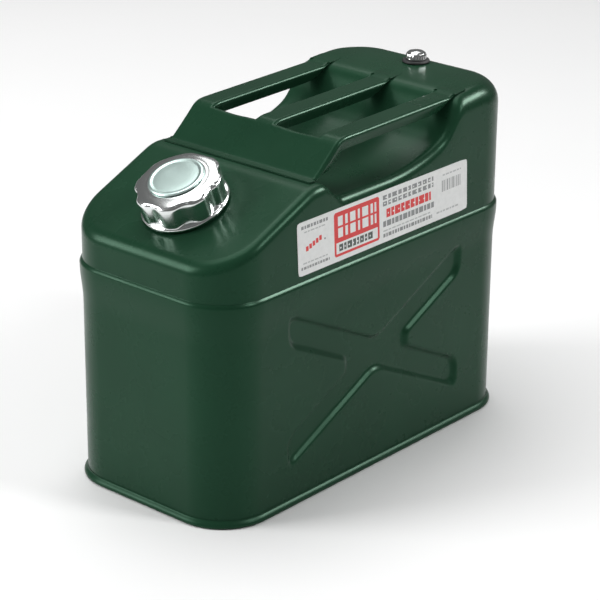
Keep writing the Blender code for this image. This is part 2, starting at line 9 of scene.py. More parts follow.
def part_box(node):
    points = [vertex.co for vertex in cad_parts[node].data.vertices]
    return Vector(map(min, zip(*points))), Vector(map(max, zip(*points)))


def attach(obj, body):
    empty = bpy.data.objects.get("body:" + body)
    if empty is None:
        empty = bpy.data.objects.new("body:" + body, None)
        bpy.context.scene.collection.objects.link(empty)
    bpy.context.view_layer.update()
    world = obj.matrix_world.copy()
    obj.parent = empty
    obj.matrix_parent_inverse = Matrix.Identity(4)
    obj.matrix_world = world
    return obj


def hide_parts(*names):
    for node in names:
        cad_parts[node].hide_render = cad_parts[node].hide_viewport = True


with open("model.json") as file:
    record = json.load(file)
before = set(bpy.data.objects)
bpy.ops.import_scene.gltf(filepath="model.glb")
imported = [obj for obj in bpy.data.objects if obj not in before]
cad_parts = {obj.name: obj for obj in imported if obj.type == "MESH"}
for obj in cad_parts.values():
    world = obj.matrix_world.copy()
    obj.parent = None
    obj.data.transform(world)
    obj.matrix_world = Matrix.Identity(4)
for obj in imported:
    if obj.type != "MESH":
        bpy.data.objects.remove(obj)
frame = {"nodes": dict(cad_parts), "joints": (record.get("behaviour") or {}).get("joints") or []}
NODES = frame["nodes"]
JOINTS = {j["name"]: j for j in frame["joints"]}


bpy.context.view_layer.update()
SC = bpy.context.scene
MM = 0.001

# ------------------------------------------------------------------ sizes, in millimetres
lo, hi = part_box("bottom_pan")
RIM_OUT = 2.8
HL = hi.x / MM - RIM_OUT
HW = hi.y / MM - RIM_OUT
RAD = 38.0
SEAM_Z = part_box("body_wrap")[1].z / MM
LIP_OUT, LIP_H, GAP = 2.0, 10.5, 0.3
HUMP_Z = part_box("top_shell")[1].z / MM
SADDLE_Z, LEDGE_Z = 219.6, 233.2
SLOPE_X0, SLOPE_Z0, SLOPE_DEG = -162.2, 193.9, 23.3
TAN = math.tan(math.radians(SLOPE_DEG))
CAP_N = Vector(JOINTS["cap_turn"]["axis"]).normalized()
CAP_O = Vector(JOINTS["cap_turn"]["pos_m"]) / MM
VENT_O = Vector(JOINTS["vent_turn"]["pos_m"]) / MM
HANDLE_HW, BAR_W, BAR_Z = 70.0, 19.5, 260.0
PANEL_FOOT_X, PANEL_TOP_X, BAR_END_X = -57.5, -37.0, 93.0


# ------------------------------------------------------------------ node helpers
class Mat:
    """Small wrapper that builds a node material."""

    def __init__(self, name):
        self.m = bpy.data.materials.new(name)
        self.m.use_nodes = True
        self.t = self.m.node_tree
        self.b = self.t.nodes["Principled BSDF"]
        self.tc = self.t.nodes.new("ShaderNodeTexCoord")

    def set(self, **k):
        for key, v in k.items():
            s = self.b.inputs[key.replace("_", " ")]
            s.default_value = v
        return self

    def node(self, kind, **k):
        n = self.t.nodes.new(kind)
        for key, v in k.items():
            setattr(n, key, v)
        return n

    def link(self, a, b):
        self.t.links.new(a, b)

    def noise(self, scale, detail=2.0, rough=0.5, stretch=None, distortion=0.0):
        n = self.node("ShaderNodeTexNoise")
        n.inputs["Scale"].default_value = scale
        n.inputs["Detail"].default_value = detail
        n.inputs["Roughness"].default_value = rough
        n.inputs["Distortion"].default_value = distortion
        src = self.tc.outputs["Object"]
        if stretch:
            mp = self.node("ShaderNodeMapping")
            mp.inputs["Scale"].default_value = stretch
            self.link(src, mp.inputs["Vector"])
            src = mp.outputs["Vector"]
        self.link(src, n.inputs["Vector"])
        return n.outputs["Fac"]

    def ramp(self, fac, stops):
        r = self.node("ShaderNodeValToRGB")
        el = r.color_ramp.elements
        while len(el) < len(stops):
            el.new(0.5)
        for e, (p, c) in zip(el, stops):
            e.position = p
            e.color = (*c, 1) if len(c) == 3 else c
        self.link(fac, r.inputs["Fac"])
        return r.outputs["Color"]

    def remap(self, fac, a, b, lo=0.0, hi=1.0):
        r = self.node("ShaderNodeMapRange")
        r.inputs["From Min"].default_value = lo
        r.inputs["From Max"].default_value = hi
        r.inputs["To Min"].default_value = a
        r.inputs["To Max"].default_value = b
        self.link(fac, r.inputs["Value"])
        return r.outputs["Result"]

    def mixc(self, fac, a, b, mode="MIX"):
        m = self.node("ShaderNodeMix", data_type='RGBA', blend_type=mode)
        if isinstance(fac, float):
            m.inputs[0].default_value = fac
        else:
            self.link(fac, m.inputs[0])
        for sock, v in ((6, a), (7, b)):
            if isinstance(v, tuple):
                m.inputs[sock].default_value = (*v, 1)
            else:
                self.link(v, m.inputs[sock])
        return m.outputs[2]

    def math(self, op, a, b=0.5):
        m = self.node("ShaderNodeMath", operation=op)
        for i, v in enumerate((a, b)):
            if isinstance(v, (int, float)):
                m.inputs[i].default_value = v
            else:
                self.link(v, m.inputs[i])
        return m.outputs[0]

    def bump(self, height, strength, distance, chain=None):
        b = self.node("ShaderNodeBump")
        b.inputs["Strength"].default_value = strength
        b.inputs["Distance"].default_value = distance
        self.link(height, b.inputs["Height"])
        if chain is not None:
            self.link(chain, b.inputs["Normal"])
        return b.outputs["Normal"]


def green_paint(name, seed=0.0, base=(0.0100, 0.0415, 0.0208), rough=0.27):
    """Stoved enamel: faint orange peel and a slow drift of tone."""
    m = Mat(name)
    drift = m.noise(9.0 + seed, 3.0, 0.6)
    col = m.mixc(m.remap(drift, 0.0, 1.0, 0.3, 0.7), tuple(c * 0.90 for c in base), tuple(c * 1.12 for c in base))
    m.link(col, m.b.inputs["Base Color"])
    r = m.remap(m.noise(26.0, 4.0, 0.6), rough - 0.03, rough + 0.05, 0.3, 0.7)
    m.link(r, m.b.inputs["Roughness"])
    peel = m.noise(430.0, 2.0, 0.5)
    wave = m.noise(38.0, 2.0, 0.5)
    n1 = m.bump(wave, 0.05, 0.0006)
    m.link(m.bump(peel, 0.06, 0.00012, n1), m.b.inputs["Normal"])
    m.set(Specular_IOR_Level=0.20, Specular_Tint=(0.47, 0.96, 0.66, 1.0))
    return m.m


def chrome(name, base=(0.80, 0.81, 0.81), rough=0.10, spun=True, var=0.05):
    m = Mat(name)
    hair = m.noise(900.0, 2.0, 0.6, stretch=(1.0, 1.0, 0.15))
    smear = m.noise(45.0, 4.0, 0.6)
    col = m.mixc(m.remap(smear, 0.0, 1.0, 0.35, 0.7), base, tuple(c * 0.92 for c in base))
    m.link(col, m.b.inputs["Base Color"])
    r = m.remap(smear, rough, rough + var, 0.35, 0.65)
    r = m.math("ADD", r, m.math("MULTIPLY", m.remap(hair, 0.0, 1.0, 0.55, 0.8), 0.05))
    m.link(r, m.b.inputs["Roughness"])
    n = m.bump(m.noise(140.0, 3.0, 0.6), 0.05, 0.0003)
    m.link(m.bump(hair, 0.04, 0.00008, n), m.b.inputs["Normal"])
    m.set(Metallic=1.0)
    return m.m


def plated(name, base=(0.50, 0.50, 0.46), rough=0.32):
    m = Mat(name)
    spangle = m.noise(70.0, 4.0, 0.65)
    col = m.mixc(m.remap(spangle, 0.0, 1.0, 0.35, 0.65), base, tuple(c * 0.72 for c in base))
    m.link(col, m.b.inputs["Base Color"])
    m.link(m.remap(m.noise(200.0, 3.0), rough - 0.06, rough + 0.12, 0.3, 0.7), m.b.inputs["Roughness"])
    m.link(m.bump(m.noise(380.0, 3.0), 0.12, 0.0002), m.b.inputs["Normal"])
    m.set(Metallic=1.0)
    return m.m


def rubber(name, base=(0.012, 0.012, 0.013)):
    m = Mat(name)
    bloom = m.noise(60.0, 4.0, 0.6)
    col = m.mixc(m.remap(bloom, 0.0, 1.0, 0.4, 0.75), base, (0.035, 0.035, 0.036))
    m.link(col, m.b.inputs["Base Color"])
    m.link(m.remap(bloom, 0.5, 0.72, 0.3, 0.7), m.b.inputs["Roughness"])
    m.link(m.bump(m.noise(700.0, 3.0), 0.2, 0.0002), m.b.inputs["Normal"])
    return m.m


def print_ink(name, rgb, gloss=0.34):
    """One ink or the bare film of the printed label."""
    m = Mat(name)
    fibre = m.noise(260.0, 3.0, 0.6)
    m.link(m.mixc(m.remap(fibre, 0.0, 1.0, 0.35, 0.7), rgb, tuple(c * 0.93 for c in rgb)), m.b.inputs["Base Color"])
    m.link(m.remap(fibre, gloss - 0.04, gloss + 0.08, 0.3, 0.7), m.b.inputs["Roughness"])
    m.link(m.bump(fibre, 0.05, 0.0002), m.b.inputs["Normal"])
    return m.m


M_BODY = green_paint("enamel_body", 0.0)
M_TOP = green_paint("enamel_top", 0.7)
M_HANDLE = green_paint("enamel_handle", 1.9)
M_PAN = green_paint("enamel_pan", 2.6, rough=0.33)
M_SEAT = green_paint("enamel_seat", 3.1)
M_CAP = chrome("cap_chrome", (0.80, 0.83, 0.82), rough=0.15)
# the disc's teal base colour is a painted reflection of the green enamel round it; the chrome itself is not coloured
M_DISC = chrome("disc_chrome_painted_green_reflection", (0.60, 0.75, 0.71), rough=0.31, var=0.06)
M_KNOB = chrome("knob_chrome", rough=0.10)
M_PLATE = plated("neck_plating")
M_SPOUT = plated("spout_plating", (0.46, 0.46, 0.44), 0.30)
M_RUB = rubber("seal_rubber")
M_RUBV = rubber("vent_rubber")


# ------------------------------------------------------------------ mesh helpers
def smooth(t):
    t = min(1.0, max(0.0, t))
    return t * t * (3 - 2 * t)


def smin(a, b, k):
    h = max(k - abs(a - b), 0.0) / k
    return min(a, b) - h * h * k * 0.25


def smax(a, b, k):
    return -smin(-a, -b, k)


def make(name, verts, faces, mats, sharp=38, fix=True, mat_ids=None):
    me = bpy.data.meshes.new(name)
    me.from_pydata([(Vector(v) * MM)[:] for v in verts], [], faces)
    if fix:
        bm = bmesh.new()
        bm.from_mesh(me)
        bmesh.ops.recalc_face_normals(bm, faces=bm.faces)
        if bm.calc_volume(signed=True) < 0:
            bmesh.ops.reverse_faces(bm, faces=bm.faces)
        bm.to_mesh(me)
        bm.free()
    for m in (mats if isinstance(mats, (list, tuple)) else [mats]):
        me.materials.append(m)
    if mat_ids is not None:
        me.polygons.foreach_set("material_index", mat_ids)
    me.shade_smooth()
    if sharp:
        me.set_sharp_from_angle(angle=math.radians(sharp))
    ob = bpy.data.objects.new(name, me)
    SC.collection.objects.link(ob)
    return ob


def apply_all(ob):
    """Bake the modifiers into the mesh."""
    dg = bpy.context.evaluated_depsgraph_get()
    dg.update()
    me = bpy.data.meshes.new_from_object(ob.evaluated_get(dg))
    ob.modifiers.clear()
    ob.data = me
    return ob


def frame_of(o, n):
    n = Vector(n).normalized()
    b = Vector((0, 1, 0))
    return Vector(o), b.cross(n).normalized(), b, n


CAP_F = frame_of(CAP_O, CAP_N)
VENT_F = frame_of(VENT_O, (0, 0, 1))


def polar(f, r, th, h):
    o, a, b, n = f
    return o + a * (r * math.cos(th)) + b * (r * math.sin(th)) + n * h


def round_chain(pts, radii, seg=4):
    """Closed (r, h) outline with its corners rounded; radii per corner."""
    out = []
    n = len(pts)
    for i in range(n):
        p = Vector(pts[i])
        q0, q1 = Vector(pts[i - 1]), Vector(pts[(i + 1) % n])
        rad = radii[i] if isinstance(radii, (list, tuple)) else radii
        d0, d1 = (q0 - p), (q1 - p)
        if rad <= 0 or d0.length < 1e-9 or d1.length < 1e-9:
            out.append(tuple(p))
            continue
        u0, u1 = d0.normalized(), d1.normalized()
        ang = u0.angle(u1)
        t = rad / math.tan(ang / 2)
        t = min(t, d0.length * 0.45, d1.length * 0.45)
        for k in range(seg + 1):
            s = k / seg
            a, b = p + u0 * t, p + u1 * t
            out.append(tuple(a * (1 - s) ** 2 + p * 2 * s * (1 - s) + b * s * s))
    return out


def turned(name, f, prof, mats, seg=96, shape=None, sharp=38):
    verts, rings, faces = [], [], []
    for r, h in prof:
        if r < 1e-6:
            rings.append([len(verts)])
            verts.append(polar(f, 0, 0, h))
        else:
            ids = []
            for i in range(seg):
                th = 2 * math.pi * i / seg
                rr, hh = shape(th, r, h) if shape else (r, h)
                ids.append(len(verts))
                verts.append(polar(f, rr, th, hh))
            rings.append(ids)
    n = len(rings)
    for k in range(n):
        a, b = rings[k], rings[(k + 1) % n]
        if len(a) == 1 and len(b) == 1:
            continue
        for i in range(seg):
            j = (i + 1) % seg
            if len(a) == 1:
                faces.append((a[0], b[j], b[i]))
            elif len(b) == 1:
                faces.append((a[i], a[j], b[0]))
            else:
                faces.append((a[i], a[j], b[j], b[i]))
    return make(name, verts, faces, mats, sharp)


def plan(n_long, n_arc, n_short):
    """Points round the can's plan on the wall line, with outward normals.
    Starts at the middle of the filler end and runs along the near side."""
    cx, cy = HL - RAD, HW - RAD
    pts = []
    h2 = n_short // 2
    for i in range(h2 + 1):
        pts.append((-HL, -cy * i / h2, -1.0, 0.0))

    def arc(ax, ay, a0, skip):
        for i in range(1 if skip else 0, n_arc + 1):
            a = math.radians(a0 + 90 * i / n_arc)
            pts.append((ax + RAD * math.cos(a), ay + RAD * math.sin(a), math.cos(a), math.sin(a)))
    arc(-cx, -cy, 180, True)
    for i in range(1, n_long):
        pts.append((-cx + 2 * cx * i / n_long, -HW, 0.0, -1.0))
    arc(cx, -cy, 270, False)
    for i in range(1, n_short):
        pts.append((HL, -cy + 2 * cy * i / n_short, 1.0, 0.0))
    arc(cx, cy, 0, False)
    for i in range(1, n_long):
        pts.append((cx - 2 * cx * i / n_long, HW, 0.0, 1.0))
    arc(-cx, cy, 90, False)
    for i in range(1, h2):
        pts.append((-HL, cy - cy * i / h2, -1.0, 0.0))
    return pts


# ------------------------------------------------------------------ lower body with its pressed crosses
def cross_depth(x, z):
    """Depth of the pressing at a point of the side wall."""
    w = z - 89.0
    m = 0.488
    c = 1 / math.sqrt(1 + m * m)
    end = abs(x) - 95.5
    d1 = smax(abs(w - m * x) * c - 9.75, end, 8.5)
    d2 = smax(abs(w + m * x) * c - 9.75, end, 8.5)
    d = smin(smin(d1, d2, 8.0), smax(abs(x) - 33.0, abs(w) - 8.5, 4.0), 5.0)
    return 3.3 * smooth((2.3 - d) / 4.6)


def flare(z):
    """The upper edge of the wrap opens out gently to take the upper shell."""
    return LIP_OUT * smooth((z - 137.0) / 27.0)


def build_body():
    base = plan(230, 26, 12)
    zs = [1.6, 8, 14, 20, 26]
    z = 29.0
    while z < 149.5:
        zs.append(z)
        z += 1.0
    zs += [151.5, 154.0, 155.2]
    lip = []
    z0, z1 = SEAM_Z - LIP_H - 3.4, SEAM_Z - LIP_H + 4.6
    for k in range(9):
        zz = z0 + (z1 - z0) * k / 8
        lip.append((zz, -flare(zz)))
    # broad rolled top edge of the lip, closed against the upper shell
    for zz, d in ((-3.6, 0), (-3.0, 0.03), (-2.6, 0.10), (-2.2, 0.25), (-1.8, 0.46), (-1.4, 0.72), (-1.0, 1.03),
                  (-0.65, 1.35), (-0.35, 1.64), (-0.15, 1.82)):
        lip.append((SEAM_Z + zz, -LIP_OUT + d * LIP_OUT / 2.0))
    lip.append((SEAM_Z, -0.08))
    lip += [(SEAM_Z - 0.5, -0.07), (SEAM_Z - 1.2, -GAP - 0.01), (SEAM_Z - LIP_H + 0.2, -GAP - 0.01)]
    rows = [(zz, -flare(zz)) for zz in zs] + lip
    for k in range(1, 7):
        t = k / 6
        rows.append((z1 - 4.6 + (z0 - z1 + 4.6) * t, -GAP - 0.01 + (1.0 + GAP) * smooth(t)))
    inner_z = [150.0, 146.0] + [zz for zz in reversed(zs[1:]) if zz < 146.0][::2] + [1.6]
    n_outer = len(rows)
    rows += [(zz, 1.0) for zz in inner_z]
    verts, faces = [], []
    m = len(base)
    for k, (zz, d) in enumerate(rows):
        for x, y, nx, ny in base:
            dd = d
            if abs(ny) > 0.999 and 20 < zz < 152 and abs(x) < 112 and (k < len(zs) or k >= n_outer):
                dd = d + cross_depth(x, zz)
            verts.append((x - nx * dd, y - ny * dd, zz))
    n = len(rows)
    for k in range(n):
        a, b = k * m, ((k + 1) % n) * m
        for i in range(m):
            j = (i + 1) % m
            faces.append((a + i, a + j, b + j, b + i))
    return make("body_wrap_fine", verts, faces, M_BODY, 50)


body = build_body()
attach(body, "root")
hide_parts("body_wrap")


# ------------------------------------------------------------------ bottom pan with its rolled rim
def build_pan():
    base = plan(40, 26, 8)
    prof = []
    # underside plate edge, foot of the rim, round outside, top of the rim, channel, inner leg
    prof += [(5.0, 3.2), (4.4, 3.1), (3.9, 2.6), (3.5, 1.4), (3.2, 0.5), (2.6, 0.02), (1.5, 0.0), (-0.6, 0.0)]
    prof += [(-1.4, 0.06), (-2.1, 0.32), (-2.55, 0.75), (-2.76, 1.3), (-2.8, 1.8), (-2.73, 2.3), (-2.5, 2.85),
             (-2.15, 3.4), (-1.75, 3.9), (-1.3, 4.38), (-0.85, 4.83), (-0.5, 5.2), (-0.36, 5.6), (-0.32, 6.1),
             (-GAP, 5.7), (-GAP, 1.3), (1.3, 1.3), (1.3, 8.1), (1.5, 8.45), (1.9, 8.5), (2.25, 8.3),
             (2.3, 7.9), (2.35, 5.2), (2.7, 4.5), (3.4, 4.2)]
    verts, faces, rings = [], [], []
    for d, z in prof:
        row = []
        for x, y, nx, ny in base:
            row.append(len(verts))
            verts.append((x - nx * d, y - ny * d, z))
        rings.append(row)
    m = len(base)
    for a, b in zip(rings, rings[1:]):
        for i in range(m):
            j = (i + 1) % m
            faces.append((a[i], a[j], b[j], b[i]))
    faces.append(tuple(rings[0]))
    faces.append(tuple(reversed(rings[-1])))
    return make("bottom_pan_fine", verts, faces, M_PAN, 50)


pan = build_pan()
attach(pan, "root")
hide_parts("bottom_pan")


# ------------------------------------------------------------------ upper shell
def top_height(x):
    slope = SLOPE_Z0 + (x - SLOPE_X0) * TAN
    z = min(slope, LEDGE_Z) if x < -60 else LEDGE_Z
    k = 6.0
    xc = SLOPE_X0 + (LEDGE_Z - SLOPE_Z0) / TAN
    if abs(x - xc) < k:
        t = (x - xc + k) / (2 * k)
        z = LEDGE_Z - TAN * k * (1 - t) ** 2
    if x > -61:
        z = LEDGE_Z + (SADDLE_Z - LEDGE_Z) * smooth((x + 61) / 22)
    if x > 8:
        z = SADDLE_Z + (228.2 - SADDLE_Z) * ((min(x, 62) - 8) / 54) ** 2
    if x > 62:
        knots = ((62, 228.2, 0.36), (78, 237.0, 0.92), (88, 250.0, 1.50), (93.5, 257.4, 0.95),
                 (98, 260.0, 0.34), (110, 261.9, 0.10), (135, HUMP_Z, 0.0))
        z = HUMP_Z
        for (xa, za, ma), (xb, zb, mb) in zip(knots, knots[1:]):
            if xa <= x <= xb:
                w = xb - xa
                t = (x - xa) / w
                h00, h10 = 2 * t ** 3 - 3 * t * t + 1, t ** 3 - 2 * t * t + t
                h01, h11 = -2 * t ** 3 + 3 * t * t, t ** 3 - t * t
                z = h00 * za + h10 * ma * w + h01 * zb + h11 * mb * w
                break
    return z


def edge_radius(x):
    if x < -60:
        return 7.5
    return 7.5 + 6.5 * smooth((x - 80) / 26) + 4.0 * smooth((x - 112) / 40)


def boss(p):
    """Slight raised land round the filler."""
    v = Vector(p) - CAP_O
    ax = v.dot(CAP_N)
    r = (v - CAP_N * ax).length
    lift = 0.0
    if abs(ax) < 12:
        lift += 0.3 * smooth((44.0 - r) / 10.0)
    return lift


def build_top():
    n_long, n_arc, n_short, fil = 170, 22, 56, 12
    base = plan(n_long, n_arc, n_short)
    m = len(base)
    verts, faces, rings = [], [], []
    skirt = SEAM_Z - LIP_H + 0.5
    for zz in (skirt, skirt + 3, SEAM_Z - 1.0):
        row = []
        for x, y, nx, ny in base:
            row.append(len(verts))
            verts.append((x, y, zz))
        rings.append(row)
    for j in range(1, 4):               # rows between the seam and the start of the edge rounding
        row = []
        for x, y, nx, ny in base:
            top = top_height(x) - edge_radius(x)
            row.append(len(verts))
            verts.append((x, y, SEAM_Z - 1.0 + (top - SEAM_Z + 1.0) * j / 4))
        rings.append(row)
    for k in range(fil + 1):
        th = math.pi / 2 * k / fil
        row = []
        for x, y, nx, ny in base:
            R = edge_radius(x)
            d = R * (1 - math.cos(th))
            px, py = x - nx * d, y - ny * d
            row.append(len(verts))
            verts.append((px, py, top_height(px) - R + R * math.sin(th)))
        rings.append(row)
    for a, b in zip(rings, rings[1:]):
        for i in range(m):
            j = (i + 1) % m
            faces.append((a[i], a[j], b[j], b[i]))
    last = rings[-1]
    half, nf2 = m // 2, n_short // 2
    prev = [last[(-k) % m] for k in range(-nf2, nf2 + 1)]      # near to far along the filler end
    prev = [last[k % m] for k in range(nf2, -nf2 - 1, -1)]
    for k in range(nf2 + 1, half - nf2):
        a, b = last[k], last[(-k) % m]
        pa, pb = Vector(verts[a]), Vector(verts[b])
        row = [a]
        for i in range(1, n_short):
            p = pa.lerp(pb, i / n_short)
            q = (p.x, p.y, p.z + boss(p) / CAP_N.z)
            row.append(len(verts))
            verts.append(q)
        row.append(b)
        for i in range(n_short):
            faces.append((prev[i], prev[i + 1], row[i + 1], row[i]))
        prev = row
    row = [last[(half + k) % m] for k in range(-nf2, nf2 + 1)]
    for i in range(n_short):
        faces.append((prev[i], prev[i + 1], row[i + 1], row[i]))
    ob = make("top_shell_fine", verts, faces, M_TOP, 0, fix=False)
    bm = bmesh.new()
    bm.from_mesh(ob.data)
    bmesh.ops.recalc_face_normals(bm, faces=bm.faces)
    bm.faces.ensure_lookup_table()
    top_face = max(bm.faces, key=lambda f: f.calc_center_median().z)
    if top_face.normal.z < 0:
        bmesh.ops.reverse_faces(bm, faces=bm.faces)
    bm.to_mesh(ob.data)
    bm.free()
    ob.data.shade_smooth()
    s = ob.modifiers.new("sheet", 'SOLIDIFY')
    s.thickness = 1.0 * MM
    s.offset = -1
    for nm, f, r, h0, h1, seg in (("neck_hole", CAP_F, 24.0, -12, 10, 96), ("vent_hole", VENT_F, 6.3, -8, 6, 48)):
        c = turned(nm, f, [(0, h0), (r, h0), (r, h1), (0, h1)], M_TOP, seg)
        b = ob.modifiers.new(nm, 'BOOLEAN')
        b.object = c
        b.operation = 'DIFFERENCE'
        b.solver = 'EXACT'
    apply_all(ob)
    for nm in ("neck_hole", "vent_hole"):
        bpy.data.objects.remove(bpy.data.objects[nm])
    ob.data.set_sharp_from_angle(angle=math.radians(50))
    return ob


top = build_top()
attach(top, "root")
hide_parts("top_shell")


# ------------------------------------------------------------------ handle pressing
def build_handle():
    foot_z = LEDGE_Z + GAP + 1.2
    path = [(-65.5, foot_z), (-61.2, foot_z), (-59.5, foot_z + 0.12), (-58.3, foot_z + 0.9),
            (-56.6, 237.0), (-48.5, 244.0), (PANEL_TOP_X - 4.4, 250.2), (PANEL_TOP_X + 0.4, 254.8),
            (PANEL_TOP_X + 4.0, 257.1), (PANEL_TOP_X + 8.4, 258.2)]
    slot_from = 7
    x0, x1 = PANEL_TOP_X + 13.5, BAR_END_X - 5
    n = 9
    for i in range(n + 1):
        t = i / n
        path.append((x0 + (x1 - x0) * t, 258.4 + (BAR_Z - 258.4) * t))
    path.append((BAR_END_X - 1.0, BAR_Z + 0.05))
    lift = 1.65
    # the welded strap ends feather down on to the hump
    for x, k in ((BAR_END_X + 3.5, 1.0), (BAR_END_X + 7, 1.0), (BAR_END_X + 11, 1.0), (BAR_END_X + 15, 1.0)):
        path.append((x, max(BAR_Z + 0.1, top_height(x) + lift * k)))
    h, w, rim = HANDLE_HW, BAR_W, 3.1
    e = [-h + rim, -h + w - rim, -w / 2 + rim, w / 2 - rim, h - w + rim, h - rim]
    ys, solid = [], []
    for b in range(3):
        a0, a1 = e[2 * b], e[2 * b + 1]
        cols = [a0, a0 + 4.0, a1 - 4.0, a1]
        for c in cols:
            ys.append(c)
        solid += [True, True, True]
        if b < 2:
            g0, g1 = a1, e[2 * b + 2]
            for c in (g0 + 4.5, g0 + 11, (g0 + g1) / 2, g1 - 11, g1 - 4.5):
                ys.append(c)
            solid += [False] * 6
    bm = bmesh.new()
    grid = []
    for i, (x, z) in enumerate(path):
        row = []
        for j, y in enumerate(ys):
            dz = dx = 0.0
            if i in (slot_from - 1, slot_from):      # the panel's top edge sags a little between the bars
                mid = 0.0
                for g in (-30.1, 30.1):
                    mid = max(mid, smooth(1 - abs(abs(y) - 30.1) / 17.0))
                k = 1.0 if i == slot_from else 0.4
                dz, dx = -0.8 * mid * k, -0.5 * mid * k
            row.append(bm.verts.new(Vector((x + dx, y, z + dz))))
        grid.append(row)
    for i in range(len(path) - 1):
        for j in range(len(ys) - 1):
            if i >= slot_from and not solid[j]:
                continue
            bm.faces.new((grid[i][j], grid[i + 1][j], grid[i + 1][j + 1], grid[i][j + 1]))
    for v in list(bm.verts):
        if not v.link_faces:
            bm.verts.remove(v)
    bm.faces.ensure_lookup_table()
    bm.normal_update()
    if bm.faces[0].normal.z < 0:
        bmesh.ops.reverse_faces(bm, faces=bm.faces)
        bm.normal_update()
    foot_x = path[0][0]

    def is_foot(ed):
        return all(abs(v.co.x - foot_x) < 1e-6 for v in ed.verts)
    free = [ed for ed in bm.edges if len(ed.link_faces) == 1 and not is_foot(ed)]
    out = {}
    for ed in free:
        a, b = ed.verts
        fc = ed.link_faces[0]
        o = (b.co - a.co).normalized().cross(fc.normal)
        if o.dot((a.co + b.co) / 2 - fc.calc_center_median()) < 0:
            o = -o
        for v in (a, b):
            out.setdefault(v, []).append((o, fc.normal.copy()))
    steps = [(0.9, 0.1), (2.0, 0.75), (2.9, 1.85), (3.1, 3.4), (0.9, 9.7)]
    layers = {v: [v] for v in out}
    for v, lst in out.items():
        os_ = [o for o, _ in lst]
        if len(os_) == 2 and os_[0].dot(os_[1]) < 0.95:
            mit = (os_[0] + os_[1]) / (1 + os_[0].dot(os_[1]))
        else:
            mit = sum(os_, Vector()) / len(os_)
        nn = sum((n_ for _, n_ in lst), Vector()).normalized()
        x = v.co.x
        flat = x < PANEL_FOOT_X - 1.5 or x > BAR_END_X
        for k, (s, dr) in enumerate(steps):
            if flat:
                s, dr = (0.9, 1.6, 2.2, 2.8, 3.1)[k], 0.0
            elif x < PANEL_FOOT_X + 2:
                dr = min(dr, 2.6 * (k + 1) / 5)
            elif x > BAR_END_X - 8:
                room = max(0.6, v.co.z - top_height(x + 1.6) - 1.3)
                dr = min(dr, room * (k + 1) / 5)
            layers[v].append(bm.verts.new(v.co + mit * s - nn * dr))
    for ed in free:
        fc = ed.link_faces[0]
        loop = [l for l in fc.loops if l.edge == ed][0]
        a, b = loop.vert, loop.link_loop_next.vert
        for k in range(len(steps)):
            bm.faces.new((layers[b][k], layers[a][k], layers[a][k + 1], layers[b][k + 1]))
    bm.normal_update()
    bm.verts.index_update()
    verts = [tuple(v.co) for v in bm.verts]
    faces = [tuple(v.index for v in fc.verts) for fc in bm.faces]
    bm.free()
    ob = make("handle_pressing_fine", verts, faces, M_HANDLE, 0, fix=False)
    sub = ob.modifiers.new("round", 'SUBSURF')
    sub.levels = sub.render_levels = 3
    s = ob.modifiers.new("sheet", 'SOLIDIFY')
    s.thickness = 1.15 * MM
    s.offset = -1
    s.use_even_offset = True
    apply_all(ob)
    for v in ob.data.vertices:          # strap ends thin out where they are welded down
        x, z = v.co.x / MM, v.co.z / MM
        if x > BAR_END_X + 1.5:
            k = 1 - 0.86 * smooth((x - BAR_END_X - 1.5) / 11.0)
            th = top_height(x)
            v.co.z = (th + (z - th) * k) * MM
    ob.data.shade_smooth()
    ob.data.set_sharp_from_angle(angle=math.radians(50))
    return ob


handle = build_handle()
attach(handle, "root")
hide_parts("handle_pressing")

# ------------------------------------------------------------------ printed label: bars and blocks only, no lettering
INK_WHITE = print_ink("film_white", (0.80, 0.81, 0.80))
INK_RED = print_ink("ink_red", (0.70, 0.030, 0.028))
INK_GREY = print_ink("ink_grey", (0.24, 0.25, 0.25))
INK_PALE = print_ink("ink_pale", (0.47, 0.48, 0.48))
INK_DARK = print_ink("ink_dark", (0.055, 0.075, 0.065))
W_, R_, G_, P_, D_ = 0, 1, 2, 3, 4


